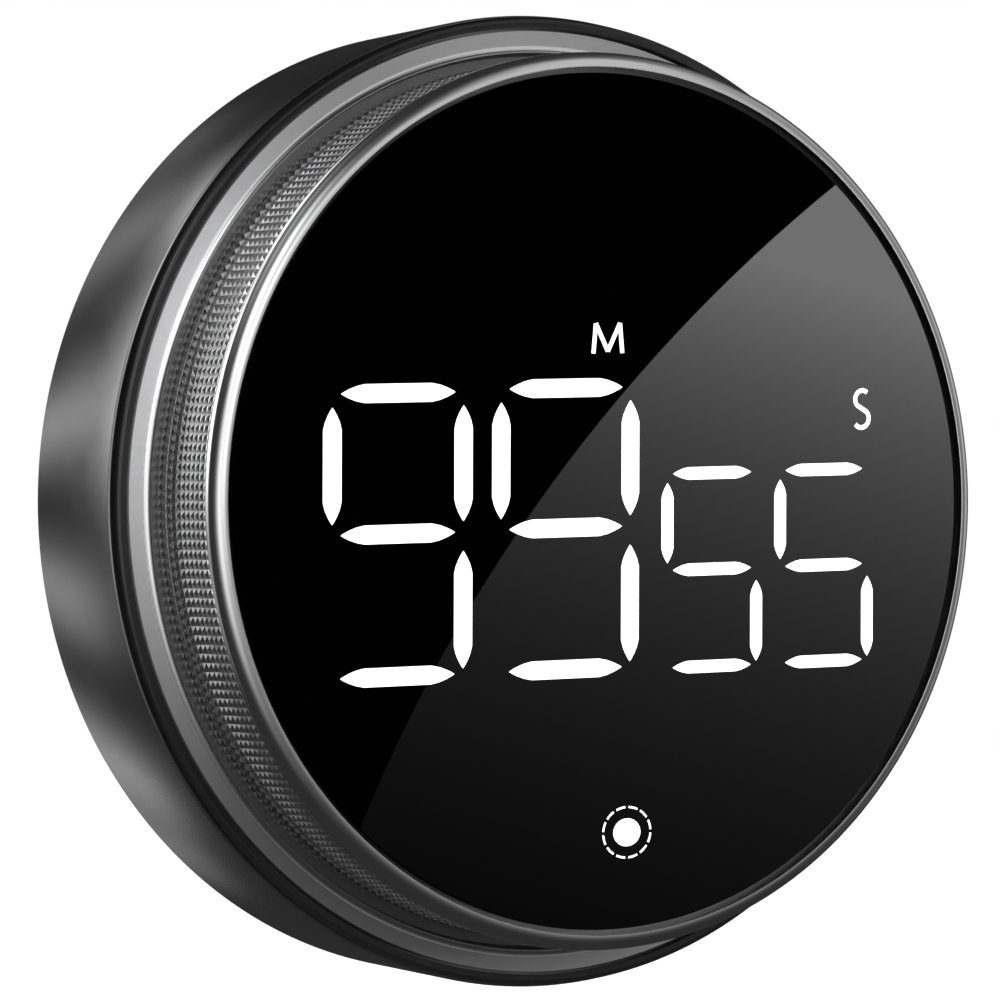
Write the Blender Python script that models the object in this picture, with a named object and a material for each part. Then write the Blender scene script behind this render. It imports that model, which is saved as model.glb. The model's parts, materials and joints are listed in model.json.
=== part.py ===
"""Round magnetic kitchen timer: a knurled aluminium dial turning on a painted housing, with a lit
display behind a dark lens. Metres, +Z up; the face looks along -Y and the back plane is y = 0."""

from math import acos, cos, pi, radians, sin, tan

import bmesh
import bpy
from mathutils import Matrix, Vector

# Lengths in millimetres. A depth is measured forward from the back plane, so it is -y.
MM = 0.001
GAP = 0.3

SHELL_R_BACK, SHELL_R_FRONT = 38.45, 38.98
SHELL_BACK, SHELL_FRONT = 3.0, 15.87
SHELL_BORE = 37.0
WEB_BACK, WEB_FRONT, WEB_R = 13.0, 14.4, 30.5

TRIM_R, TRIM_BORE, TRIM_BACK, TRIM_FRONT = 38.85, 37.95, 16.0, 16.95
FLANGE_R, FLANGE_BACK, FLANGE_FRONT = 37.69, 15.95, 16.83
DIAL_R, DIAL_BORE = 35.0, 33.0
LIP_R, LIP_BORE, LIP_BACK, LIP_CREST = 35.5, 34.1, 24.0, 26.45
LENS_R, LENS_BACK, LENS_FACE = 33.85, 24.95, 26.05

COVER_R, COVER_FOOT_R, COVER_BACK, COVER_SKIN, COVER_FRONT = 36.7, 36.0, 0.7, 3.4, 5.0
FOOT_R_IN, FOOT_R_OUT = 34.1, 35.1

CELL_R, CELL_LENGTH, CELL_PITCH, CELL_DEPTH, CELL_SHIFT = 5.25, 44.5, 11.0, 8.1, 2.6
TRAY_X, TRAY_Z, TRAY_WALL, TRAY_BACK, TRAY_FRONT = 26.6, 17.3, 0.9, 3.8, 14.4

DOOR_X, DOOR_TOP, DOOR_HINGE_Z, DOOR_DEPTH, DOOR_HALF = 25.6, 17.0, -16.9, 1.7, 0.8

GEAR_MODULE, GEAR_PRESSURE = 1.0, radians(25)
RING_TEETH, PINION_TEETH, BACKLASH = 61, 10, 0.3
GEAR_BACK, GEAR_FRONT = 15.95, 18.2
PINION_Z = GEAR_MODULE * (RING_TEETH - PINION_TEETH) / 2

SWITCH_Z, SWITCH_TRAVEL = -21.9, 2.0

# Display: digit centre x, half width, top, middle and bottom rows, bar thickness.
BIG = [(-18.9, 5.95, 8.75, -2.23, -13.1, 1.75), (-3.65, 5.95, 8.75, -2.23, -13.1, 1.75)]
SMALL = [(10.05, 4.25, 2.3, -5.4, -13.1, 1.25), (20.8, 4.25, 2.3, -5.4, -13.1, 1.25)]
MINUTES_AT, SECONDS_AT, TOUCH_AT = (0.35, 12.8), (24.6, 7.45), (1.8, -26.0)

OUTER, INNER, SMALL_ROUND = 56, 40, 14


def clear_scene():
    for obj in list(bpy.data.objects):
        bpy.data.objects.remove(obj, do_unlink=True)


def point(x, depth, z):
    return Vector((x, -depth, z)) * MM


def material(name, colour, roughness, metallic=0.0, emission=None):
    mat = bpy.data.materials.new(name)
    mat.use_nodes = True
    bsdf = mat.node_tree.nodes["Principled BSDF"]
    bsdf.inputs["Base Color"].default_value = (*colour, 1.0)
    bsdf.inputs["Roughness"].default_value = roughness
    bsdf.inputs["Metallic"].default_value = metallic
    if emission:
        bsdf.inputs["Emission Color"].default_value = (*emission, 1.0)
        bsdf.inputs["Emission Strength"].default_value = 1.0
    return mat


def axis_at(name, x=0.0, depth=0.0, z=0.0, parent=None):
    empty = bpy.data.objects.new(name, None)
    empty.empty_display_size = 0.01
    bpy.context.scene.collection.objects.link(empty)
    if parent:
        empty.parent = parent
    empty.location = point(x, depth, z) - (parent.location if parent else Vector())
    return empty


def add(name, bm, parent, mat=None, smooth=True):
    """Makes the object, with its mesh measured from its parent's axis."""
    bmesh.ops.remove_doubles(bm, verts=bm.verts, dist=1e-7)
    bmesh.ops.recalc_face_normals(bm, faces=bm.faces)
    origin = parent.matrix_basis.translation.copy()
    if parent.parent:
        origin += parent.parent.matrix_basis.translation
    bmesh.ops.translate(bm, verts=bm.verts, vec=-origin)
    mesh = bpy.data.meshes.new(name)
    bm.to_mesh(mesh)
    bm.free()
    if smooth:
        mesh.shade_smooth()
        mesh.set_sharp_from_angle(angle=radians(35))
    obj = bpy.data.objects.new(name, mesh)
    bpy.context.scene.collection.objects.link(obj)
    obj.parent = parent
    if mat:
        mesh.materials.append(mat)
    return obj


def combine(obj, bm, operation):
    """Joins bm to the object, or cuts it from the object, through a hidden helper."""
    helper = add(f"{obj.name}_{operation.lower()}_{len(obj.modifiers)}", bm, obj.parent, smooth=False)
    helper.hide_render = True
    helper.display_type = "WIRE"
    modifier = obj.modifiers.new(operation.title(), "BOOLEAN")
    modifier.operation = operation
    modifier.object = helper
    return obj


def gathered(tools):
    """Several shapes that don't meet, as one mesh."""
    whole = bmesh.new()
    for tool in tools:
        bmesh.ops.recalc_face_normals(tool, faces=tool.faces)
        mesh = bpy.data.meshes.new("tool")
        tool.to_mesh(mesh)
        tool.free()
        whole.from_mesh(mesh)
        bpy.data.meshes.remove(mesh)
    return whole


def cut(obj, *tools):
    combine(obj, gathered(tools), "DIFFERENCE")


def join(obj, *tools):
    combine(obj, gathered(tools), "UNION")


def spun(profile, steps, x=0.0, z=0.0):
    """A closed (radius, depth) profile turned about the Y direction through (x, z)."""
    bm = bmesh.new()
    verts = [bm.verts.new(point(x + r, depth, z)) for r, depth in profile]
    edges = [bm.edges.new(pair) for pair in zip(verts, verts[1:])]
    if min(r for r, _ in profile) > 0:
        edges.append(bm.edges.new((verts[-1], verts[0])))
    bmesh.ops.spin(
        bm, geom=verts + edges, cent=point(x, 0, z), axis=(0, 1, 0), angle=2 * pi, steps=steps
    )
    bmesh.ops.remove_doubles(bm, verts=bm.verts, dist=1e-7)
    return bm


def post(x, z, r, back, front, steps=SMALL_ROUND):
    return spun([(0, back), (r, back), (r, front), (0, front)], steps, x, z)


def ring(r_in, r_out, back, front, steps, x=0.0, z=0.0):
    return spun([(r_in, back), (r_out, back), (r_out, front), (r_in, front)], steps, x, z)


def box(x0, x1, back, front, z0, z1):
    bm = bmesh.new()
    bmesh.ops.create_cube(bm, size=1.0)
    for v in bm.verts:
        v.co = point(
            x0 if v.co.x < 0 else x1, back if v.co.y > 0 else front, z0 if v.co.z < 0 else z1
        )
    return bm


def centred_box(x, z, wide, high, back, front):
    return box(x - wide / 2, x + wide / 2, back, front, z - high / 2, z + high / 2)


def plate(outline, back, front):
    """A flat (x, z) outline extruded from one depth to the other."""
    bm = bmesh.new()
    face = bm.faces.new([bm.verts.new(point(x, back, z)) for x, z in outline])
    made = bmesh.ops.extrude_face_region(bm, geom=[face])["geom"]
    moved = [v for v in made if isinstance(v, bmesh.types.BMVert)]
    bmesh.ops.translate(bm, verts=moved, vec=point(0, front - back, 0))
    return bm


def bar_along_x(x0, x1, depth, z, r, steps=SMALL_ROUND):
    bm = bmesh.new()
    bmesh.ops.create_cone(
        bm, cap_ends=True, segments=steps, radius1=r * MM, radius2=r * MM, depth=(x1 - x0) * MM
    )
    turn = Matrix.Rotation(pi / 2, 4, "Y")
    bmesh.ops.transform(bm, matrix=Matrix.Translation(point((x0 + x1) / 2, depth, z)) @ turn,
                        verts=bm.verts)
    return bm


def coil(x, depth, z, along, r_start, r_end, length, turns, wire, per_turn=10, sides=5):
    """A spring wire wound about the direction 'along', with closed ends."""
    along = Vector(along).normalized()
    side = along.orthogonal().normalized()
    up = along.cross(side)
    start = point(x, depth, z)
    bm = bmesh.new()
    rings = []
    count = int(turns * per_turn)
    for i in range(count + 1):
        share = i / count
        a = 2 * pi * turns * share
        r = r_start + (r_end - r_start) * share
        out = side * cos(a) + up * sin(a)
        centre = start + (along * length * share + out * r) * MM
        rings.append([
            bm.verts.new(centre + (out * cos(2 * pi * k / sides) + along * sin(2 * pi * k / sides))
                         * wire * MM)
            for k in range(sides)
        ])
    for one, two in zip(rings, rings[1:]):
        for k in range(sides):
            bm.faces.new((one[k], one[(k + 1) % sides], two[(k + 1) % sides], two[k]))
    bm.faces.new(rings[0])
    bm.faces.new(rings[-1])
    return bm


def screw(name, x, z, head_r, head_back, head_front, shaft_r, end, parent, mat):
    """A pan-head screw whose head is at the back, with a hexagonal drive recess."""
    ease = 0.2 if head_front > head_back else -0.2
    body = spun([(0, head_back), (head_r - 0.3, head_back), (head_r, head_back + ease * 1.5),
                 (head_r, head_front), (shaft_r, head_front), (shaft_r, end), (0, end)], 10, x, z)
    obj = add(name, body, parent, mat)
    deep = (head_front - head_back) * 0.6
    drive = spun([(0, head_back - 4 * ease), (head_r * 0.5, head_back - 4 * ease),
                  (head_r * 0.5, head_back + deep), (0, head_back + deep)], 6, x, z)
    cut(obj, drive)
    return obj


def involute(a):
    return tan(a) - a


def gear_outline(teeth, r_root, r_tip, thickness, centre_z, flank=3):
    """Involute teeth, the first pointing along +Z; thickness is measured at the pitch circle."""
    pitch = GEAR_MODULE * teeth / 2
    base = pitch * cos(GEAR_PRESSURE)
    half_at_pitch = thickness / 2 / pitch

    def half_angle(r):
        a = acos(base / max(r, base))
        return half_at_pitch + involute(GEAR_PRESSURE) - involute(a)

    radii = [r_root + (r_tip - r_root) * i / flank for i in range(flank + 1)]
    outline = []
    for tooth in range(teeth):
        middle = pi / 2 + 2 * pi * tooth / teeth
        left = [(r, middle - half_angle(r)) for r in radii]
        right = [(r, middle + half_angle(r)) for r in reversed(radii)]
        outline += [(r * cos(a), centre_z + r * sin(a)) for r, a in left + right]
    return outline


def bar_outline(x, z, length, thick, upright, pointed=0.62):
    """A display bar: straight sides with pointed ends, lying or upright."""
    half, ear = length / 2, thick * pointed
    shape = [(-half, 0), (-half + ear, -thick / 2), (half - ear, -thick / 2), (half, 0),
             (half - ear, thick / 2), (-half + ear, thick / 2)]
    return [(x - b, z + a) if upright else (x + a, z + b) for a, b in shape]


def digit_bars(digit):
    """The seven bars of one digit, as (x, z, length, thickness, upright)."""
    x, half, top, middle, bottom, thick = digit
    across = 2 * half - 1.25 * thick
    bars = [(x, row, across, thick, False) for row in (top, middle, bottom)]
    for low, high in ((middle, top), (bottom, middle)):
        length = high - low - 1.0 * thick
        bars += [(x + s * half, (low + high) / 2, length, thick, True) for s in (-1, 1)]
    return bars


def all_bars():
    return [bar for digit in BIG + SMALL for bar in digit_bars(digit)]


clear_scene()

grey_paint = material("grey_paint", (0.17, 0.17, 0.175), 0.38)
black_gloss = material("black_gloss", (0.012, 0.012, 0.013), 0.18)
aluminium = material("aluminium", (0.78, 0.78, 0.79), 0.28, 1.0)
smoked_lens = material("smoked_lens", (0.006, 0.006, 0.007), 0.04)
black_plastic = material("black_plastic", (0.03, 0.03, 0.032), 0.5)
white_plastic = material("white_plastic", (0.82, 0.82, 0.8), 0.45)
ivory_plastic = material("ivory_plastic", (0.75, 0.73, 0.66), 0.4)
rubber = material("rubber", (0.02, 0.02, 0.02), 0.8)
nickel = material("nickel", (0.75, 0.74, 0.71), 0.22, 1.0)
steel = material("steel", (0.6, 0.6, 0.61), 0.3, 1.0)
spring_steel = material("spring_steel", (0.66, 0.65, 0.63), 0.25, 1.0)
board_green = material("board_green", (0.02, 0.12, 0.06), 0.4)
cell_wrap = material("cell_wrap", (0.05, 0.07, 0.10), 0.3, 0.4)
light_film = material("light_film", (0.9, 0.9, 0.9), 0.6, emission=(1.0, 1.0, 1.0))

timer = axis_at("timer")
dial_axis = axis_at("dial_axis", parent=timer)
encoder_axis = axis_at("encoder_axis", z=PINION_Z, parent=timer)
door_axis = axis_at("door_axis", depth=DOOR_DEPTH, z=DOOR_HINGE_Z, parent=timer)
switch_axis = axis_at("switch_axis", z=SWITCH_Z, parent=timer)

# Corners at 45 degrees hold the cover's screws; three more hold the display carrier.
BOSSES = [(31.9 * cos(radians(a)), 31.9 * sin(radians(a))) for a in (45, 135, 225, 315)]
CARRIER_SCREWS = [(31.9 * cos(radians(a)), 31.9 * sin(radians(a))) for a in (0, 110, 250)]
MAGNETS = [(x, z) for x in (-14.0, 14.0) for z in (-24.0, 24.0)]
EARS = [(x, z) for x in (-15.0, 15.0) for z in (-19.9, 19.9)]
CELLS = [(-1, -CELL_PITCH), (1, 0.0), (-1, CELL_PITCH)]

# Housing: a slightly tapered painted wall with a web near its front edge.
shell = add("housing_shell", spun([
    (SHELL_BORE, SHELL_BACK), (SHELL_R_BACK - 0.35, SHELL_BACK), (SHELL_R_BACK, SHELL_BACK + 0.35),
    (SHELL_R_FRONT, SHELL_FRONT - 0.12), (SHELL_R_FRONT - 0.12, SHELL_FRONT),
    (SHELL_BORE, SHELL_FRONT), (SHELL_BORE, WEB_FRONT), (WEB_R, WEB_FRONT), (WEB_R, WEB_BACK),
    (SHELL_BORE, WEB_BACK)], OUTER), timer, grey_paint)
join(shell, *[post(x, z, 2.2, COVER_FRONT + GAP, WEB_BACK + 0.7) for x, z in BOSSES])
cut(shell, *[post(x, z, 1.0, COVER_FRONT - 0.5, WEB_BACK - 0.5, 12) for x, z in BOSSES],
    *[post(x, z, 0.85, WEB_BACK - 1, WEB_FRONT + 1, 12) for x, z in CARRIER_SCREWS],
    box(-TRAY_X - GAP, TRAY_X + GAP, 6.0, WEB_FRONT + 1, -TRAY_Z - GAP, TRAY_Z + GAP))

add("trim_ring", spun([
    (TRIM_BORE, TRIM_BACK), (TRIM_R, TRIM_BACK), (TRIM_R, TRIM_FRONT - 0.4),
    (TRIM_R - 0.12, TRIM_FRONT - 0.12), (TRIM_R - 0.4, TRIM_FRONT),
    (TRIM_BORE, TRIM_FRONT)], OUTER), timer, black_gloss)

# Dial: flange, plain barrel where the knurl is cut, and a rounded lip around the lens.
add("dial_ring", spun([
    (DIAL_BORE, FLANGE_BACK), (FLANGE_R, FLANGE_BACK), (FLANGE_R, FLANGE_FRONT),
    (36.4, FLANGE_FRONT), (36.0, FLANGE_FRONT - 0.25), (35.5, FLANGE_FRONT - 0.35),
    (DIAL_R, FLANGE_FRONT - 0.1), (DIAL_R, 24.2), (34.6, 24.35), (34.9, 24.6), (LIP_R, 25.2),
    (35.3, 25.75), (34.75, 26.3), (34.35, LIP_CREST), (LIP_BORE, 26.2), (LIP_BORE, LIP_BACK),
    (DIAL_BORE, LIP_BACK)], OUTER), dial_axis, aluminium)

gear_ring = add("dial_gear", post(0, 0, DIAL_BORE - 0.2, GEAR_BACK, GEAR_FRONT, OUTER),
                dial_axis, ivory_plastic)
RING_PITCH = GEAR_MODULE * RING_TEETH / 2
cut(gear_ring, plate(gear_outline(
    RING_TEETH, RING_PITCH - 0.8, RING_PITCH + 1.05, pi * GEAR_MODULE / 2 + BACKLASH / 2, 0, 1),
    GEAR_BACK - 1, GEAR_FRONT + 1))

PINION_PITCH = GEAR_MODULE * PINION_TEETH / 2
pinion = add("encoder_pinion", plate(gear_outline(
    PINION_TEETH, PINION_PITCH - 1.1, PINION_PITCH + 0.85, pi * GEAR_MODULE / 2 - BACKLASH / 2,
    PINION_Z), GEAR_BACK + 0.1, GEAR_FRONT - 0.1), encoder_axis, ivory_plastic)
join(pinion, post(0, PINION_Z, 1.5, 12.0, GEAR_FRONT - 0.5))

encoder = add("encoder_body", centred_box(0, PINION_Z, 8.0, 8.0, 10.6, 14.4), timer, black_plastic)
cut(encoder, post(0, PINION_Z, 1.55, 11.7, 15.5, 24))

add("bearing_ring", ring(34.0, 36.8, WEB_FRONT + GAP, FLANGE_BACK - 0.25, INNER), timer, ivory_plastic)

# Display carrier: foot ring on the web, neck inside the gear, floor, wall and front rim.
carrier = add("display_carrier", spun([
    (0, 18.4), (26.9, 18.4), (26.9, 14.7), (33.4, 14.7), (33.4, 15.65), (28.5, 15.65),
    (28.5, 18.5), (32.6, 18.5), (32.6, 24.3), (33.7, 24.3), (33.7, 24.7), (31.4, 24.7),
    (31.4, 19.6), (0, 19.6)], INNER), timer, black_plastic)
cut(carrier, box(-7.4, 7.4, 14.0, 18.6, 18.5, 36.0), centred_box(0, -20.0, 11.5, 3.4, 17.0, 21.0),
    *[post(x, z, 0.85, 14.0, 16.5, 12) for x, z in CARRIER_SCREWS])

# Circuit boards and what is soldered to them.
board = add("main_board", post(0, 0, 26.5, WEB_FRONT + GAP, 15.7, INNER), timer, board_green)
join(board, box(-6.6, 6.6, WEB_FRONT + GAP, 15.7, 20.0, 31.0))
cut(board, post(0, PINION_Z, 2.0, 13, 17), *[post(x, z, 0.95, 13, 17, 12) for x, z in EARS[::3]])
join(board, centred_box(-9, -6, 7, 7, 15.6, 16.7), centred_box(9, 4, 5, 8, 15.6, 17.0))

header = add("board_header", centred_box(0, -20.0, 10.2, 2.4, 16.0, 19.7), timer, black_plastic)

led_board = add("led_board", post(0, 0, 31.1, 19.9, 20.9, INNER), timer, board_green)
join(led_board, *[
    centred_box(x, z, 0.8 if upright else 2.0, 2.0 if upright else 0.8, 20.8, 21.5)
    for x, z, _, _, upright in all_bars()])

reflector = add("light_guide", post(0, 0, 31.1, 21.7, 24.1, INNER), timer, white_plastic)
windows = [plate(bar_outline(*bar), 20.5, 25.0) for bar in all_bars()]
windows += [centred_box(*MINUTES_AT, 3.6, 3.0, 20.5, 25.0),
            centred_box(*SECONDS_AT, 2.2, 3.8, 20.5, 25.0), post(*TOUCH_AT, 3.4, 20.5, 25.0)]
cut(reflector, *windows)

film = add("display_film", post(0, 0, 31.1, 24.35, 24.7, INNER), timer, light_film)
cut(film, post(*TOUCH_AT, 3.4, 24.0, 25.0))

add("touch_spring", coil(TOUCH_AT[0], 21.2, TOUCH_AT[1], (0, -1, 0), 2.4, 2.4, 3.2, 3, 0.25),
    timer, spring_steel)

add("lens", spun([(0, LENS_BACK), (LENS_R, LENS_BACK), (LENS_R, LENS_FACE - 0.2),
                  (LENS_R - 0.25, LENS_FACE), (0, LENS_FACE)], OUTER), timer, smoked_lens)

# Battery tray with its cells and contacts.
tray = add("battery_tray", box(-TRAY_X, TRAY_X, TRAY_BACK, TRAY_FRONT, -TRAY_Z, TRAY_Z),
           timer, black_plastic)
cut(tray, box(-TRAY_X + TRAY_WALL, TRAY_X - TRAY_WALL, TRAY_BACK - 1, TRAY_FRONT - 0.7,
              -TRAY_Z + TRAY_WALL, TRAY_Z - TRAY_WALL))
join(tray, *[centred_box(x, z * 0.97, 4.4, 4.9, 9.0, TRAY_FRONT - 0.1) for x, z in EARS])
cut(tray, *[post(x, z, 0.7, 10.0, TRAY_FRONT + 1, 12) for x, z in EARS])

for i, (way, z) in enumerate(CELLS, 1):
    shift = way * CELL_SHIFT
    body = CELL_LENGTH - 0.9
    tail = shift - way * CELL_LENGTH / 2
    cell = bar_along_x(min(tail, tail + way * body), max(tail, tail + way * body), CELL_DEPTH, z,
                       CELL_R, 16)
    cell = add(f"cell_{i}", cell, timer, cell_wrap)
    nub = sorted((tail + way * (body - 0.5), tail + way * CELL_LENGTH))
    join(cell, bar_along_x(*nub, CELL_DEPTH, z, 1.9, 12))
    wall = TRAY_X - TRAY_WALL
    near = sorted((way * (wall - 0.2), way * (wall - 0.55)))
    add(f"plate_contact_{i}", box(*near, CELL_DEPTH - 3.6, CELL_DEPTH + 3.6, z - 3.6, z + 3.6),
        timer, nickel)
    far = sorted((-way * (wall - 0.2), -way * (wall - 0.55)))
    spring = add(f"spring_contact_{i}", box(*far, CELL_DEPTH - 3.6, CELL_DEPTH + 3.6, z - 3.6,
                                            z + 3.6), timer, nickel)
    join(spring, coil(-way * (wall - 0.6), CELL_DEPTH, z, (way, 0, 0), 3.0, 2.0, 4.8, 3, 0.35))

# Back cover with its opening, pockets, slots and the foot ring's groove.
cover = add("back_cover", spun([
    (0, COVER_BACK), (FOOT_R_IN - 0.2, COVER_BACK), (FOOT_R_IN - 0.2, 1.4), (FOOT_R_OUT + 0.2, 1.4),
    (FOOT_R_OUT + 0.2, COVER_BACK), (COVER_FOOT_R, COVER_BACK),
    (COVER_FOOT_R, SHELL_BACK + GAP), (COVER_R, SHELL_BACK + GAP), (COVER_R, COVER_FRONT),
    (34.6, COVER_FRONT), (34.6, COVER_SKIN), (0, COVER_SKIN)], OUTER), timer, black_plastic)
cut(cover, box(-DOOR_X - GAP, DOOR_X + GAP, -1, 6, DOOR_HINGE_Z - DOOR_HALF - GAP, DOOR_TOP + GAP))
cut(cover, bar_along_x(-DOOR_X - 1.6, DOOR_X + 1.6, DOOR_DEPTH, DOOR_HINGE_Z, 0.62, 16),
    centred_box(0, DOOR_TOP + 1.2, 12.0, 2.6, -1, 2.2))
cut(cover, centred_box(0, SWITCH_Z, 3.2 + 2 * SWITCH_TRAVEL + 0.8, 3.2, -1, 6),
    *[post(x, z, 4.3, -1, 2.8, 18) for x, z in MAGNETS],
    *[spun([(0, -1), (1.7, -1), (1.7, 2.2), (1.0, 2.2), (1.0, 6), (0, 6)], 14, x, z)
      for x, z in BOSSES],
    *[post(x, z, 0.6, -1, 6, 8) for x in (-2.5, 0.1, 2.6) for z in (23.3, 25.7)])

add("foot_ring", ring(FOOT_R_IN, FOOT_R_OUT, 0, 1.2, OUTER), timer, rubber)
for i, (x, z) in enumerate(MAGNETS, 1):
    add(f"magnet_{i}", post(x, z, 4.0, 0.4, 2.5, 18), timer, nickel)
for i, (x, z) in enumerate(BOSSES, 1):
    screw(f"cover_screw_{i}", x, z, 1.5, 0.9, 1.9, 0.7, 9.5, timer, steel)
for i, (x, z) in enumerate(CARRIER_SCREWS, 1):
    screw(f"carrier_screw_{i}", x, z, 1.3, 11.8, 12.7, 0.65, 15.6, timer, steel)
for i, (x, z) in enumerate(EARS[::3], 1):
    screw(f"board_screw_{i}", x, z, 1.5, 17.0, 16.0, 0.55, 11.0, timer, steel)

# Battery door: a plate on two pin stubs, with a finger notch tongue at its free edge.
door = add("battery_door", box(-DOOR_X, DOOR_X, DOOR_DEPTH - DOOR_HALF, DOOR_DEPTH + DOOR_HALF,
                               DOOR_HINGE_Z, DOOR_TOP), door_axis, black_plastic)
join(door, bar_along_x(-DOOR_X, DOOR_X, DOOR_DEPTH, DOOR_HINGE_Z, DOOR_HALF, 16),
     centred_box(0, DOOR_TOP + 0.6, 11.0, 1.4, DOOR_DEPTH - DOOR_HALF, DOOR_DEPTH - 0.1))
join(door, bar_along_x(-DOOR_X - 1.3, DOOR_X + 1.3, DOOR_DEPTH, DOOR_HINGE_Z, 0.5, 16))
cut(door, centred_box(0, DOOR_TOP - 3.0, 9.0, 0.7, 0, DOOR_DEPTH),
    centred_box(0, DOOR_TOP - 4.6, 9.0, 0.7, 0, DOOR_DEPTH))

# Three-position volume switch, set back from the resting plane.
switch = add("volume_switch", centred_box(0, SWITCH_Z, 10.6, 4.6, 10.4, 14.4), timer, nickel)
cut(switch, centred_box(0, SWITCH_Z, 3.0 + 2 * SWITCH_TRAVEL + 0.6, 2.6, 9.0, 13.2))
knob = add("volume_knob", centred_box(0, SWITCH_Z, 3.0, 2.6, 0.9, 7.0), switch_axis, white_plastic)
join(knob, centred_box(0, SWITCH_Z, 2.4, 2.0, 6.5, 12.6))

sounder = add("buzzer", spun([(0, 4.0), (5.6, 4.0), (6.0, 4.4), (6.0, 9.6), (0, 9.6)], 24, 0, 25.4),
              timer, black_plastic)
cut(sounder, post(0, 25.4, 1.2, 3.0, 6.0, 12))
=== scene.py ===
"""Looks of the round kitchen timer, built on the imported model. Metres, +Z up; the face looks along -Y
and the back plane is y = 0. Lengths in this script are in millimetres where they are multiplied by MM."""

import json
from math import cos, pi, radians, sin, tan

import bmesh
import bpy
from mathutils import Matrix, Vector

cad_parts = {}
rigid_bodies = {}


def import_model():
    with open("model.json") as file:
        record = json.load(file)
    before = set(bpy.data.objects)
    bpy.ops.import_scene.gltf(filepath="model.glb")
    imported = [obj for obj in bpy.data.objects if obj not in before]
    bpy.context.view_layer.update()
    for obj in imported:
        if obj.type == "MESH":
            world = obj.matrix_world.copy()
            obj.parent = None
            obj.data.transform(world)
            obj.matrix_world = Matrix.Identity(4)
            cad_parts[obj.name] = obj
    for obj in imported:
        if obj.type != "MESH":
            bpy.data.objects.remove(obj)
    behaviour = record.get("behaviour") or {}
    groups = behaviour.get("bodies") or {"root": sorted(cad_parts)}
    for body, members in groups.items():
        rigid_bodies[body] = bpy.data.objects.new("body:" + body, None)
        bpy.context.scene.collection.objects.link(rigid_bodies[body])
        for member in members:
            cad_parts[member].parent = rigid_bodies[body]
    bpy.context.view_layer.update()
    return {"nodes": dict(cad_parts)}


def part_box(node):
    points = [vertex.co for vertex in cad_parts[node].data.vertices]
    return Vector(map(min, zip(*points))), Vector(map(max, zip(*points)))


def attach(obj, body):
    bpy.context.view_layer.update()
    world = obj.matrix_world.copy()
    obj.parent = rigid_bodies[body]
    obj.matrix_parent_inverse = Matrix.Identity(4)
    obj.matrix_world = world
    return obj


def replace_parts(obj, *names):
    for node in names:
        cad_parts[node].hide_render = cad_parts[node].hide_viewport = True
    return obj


MM = 0.001
# Turns a card square to the direction in which the camera sees past the lens as in a mirror.
FACING_LENS = Matrix(((0.8523, 0.0, 0.5231), (0.5231, 0.0, -0.8523), (0.0, 1.0, 0.0))).to_4x4()

# Turned parts: radii and depths. A depth is measured forward from the back plane, so it is -y.
SHELL_BORE, SHELL_R_BACK, SHELL_R_FRONT = 37.0, 38.45, 38.98
SHELL_BACK, SHELL_FRONT = 3.0, 15.87
WEB_R, WEB_BACK, WEB_FRONT = 30.5, 13.0, 14.4
KNURL_R, KNURL_ROOT, KNURL_BACK, KNURL_FRONT = 35.0, 34.88, 16.26, 24.35
KNURL_ROWS, KNURL_COLUMNS = 11, 292
LENS_FACE = 26.05
ROUND = 256

# Dial ring: the flange stands behind the knurl, and a fine bead rises where the two meet.
FLANGE_R, FLANGE_BACK, FLANGE_FACE = 37.69, 15.95, 16.83
BEAD_R, BEAD_TOP = 35.94, 17.19
# The groove's faces take a dark grey metal, painted shade for the shadow that falls in the groove.
BRUSHED_FACES, POLISHED_FACES, KNURLED_FACES, GROOVE_PAINTED_SHADE_FACES = range(4)
DIAL_BORE, LIP_BORE, LIP_R, LIP_BACK, LIP_FRONT = 33.0, 34.28, 35.5, 24.97, 26.45

# Display: (centre x, half width, top row, middle row, bottom row, bar thickness, lit bars).
# A row climbs by ROW_RISE of its length to the right, and a column leans by COLUMN_LEAN of its height.
NINES = [(-19.0, 5.91, 8.86, -2.06, -13.1, 1.46, "abcdfg"), (-3.65, 6.0, 9.0, -2.0, -13.13, 1.46, "abcdfg")]
FIVES = [(10.12, 4.25, 2.02, -5.65, -13.4, 1.0, "acdfg"), (20.91, 4.25, 2.05, -5.65, -13.4, 1.0, "acdfg")]
MINUTES_AT, SECONDS_AT, TOUCH_AT = (0.2, 12.87), (24.55, 6.88), (2.13, -26.25)
ROW_RISE, COLUMN_LEAN = 0.0248, 0.0040
ART_PROUD, ART_THICK = 0.015, 0.03

# Back: where the door's pin runs, and the depth of the cells' axes.
PIN_DEPTH, PIN_Z = 1.7, -16.9
CELL_DEPTH = 8.1

# Camera.
CAMERA_AT, CAMERA_YAW, CAMERA_LENS, SENSOR_WIDTH = (-0.2715, -0.4525, 0.0001), -0.5505, 230.4, 36.0

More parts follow.
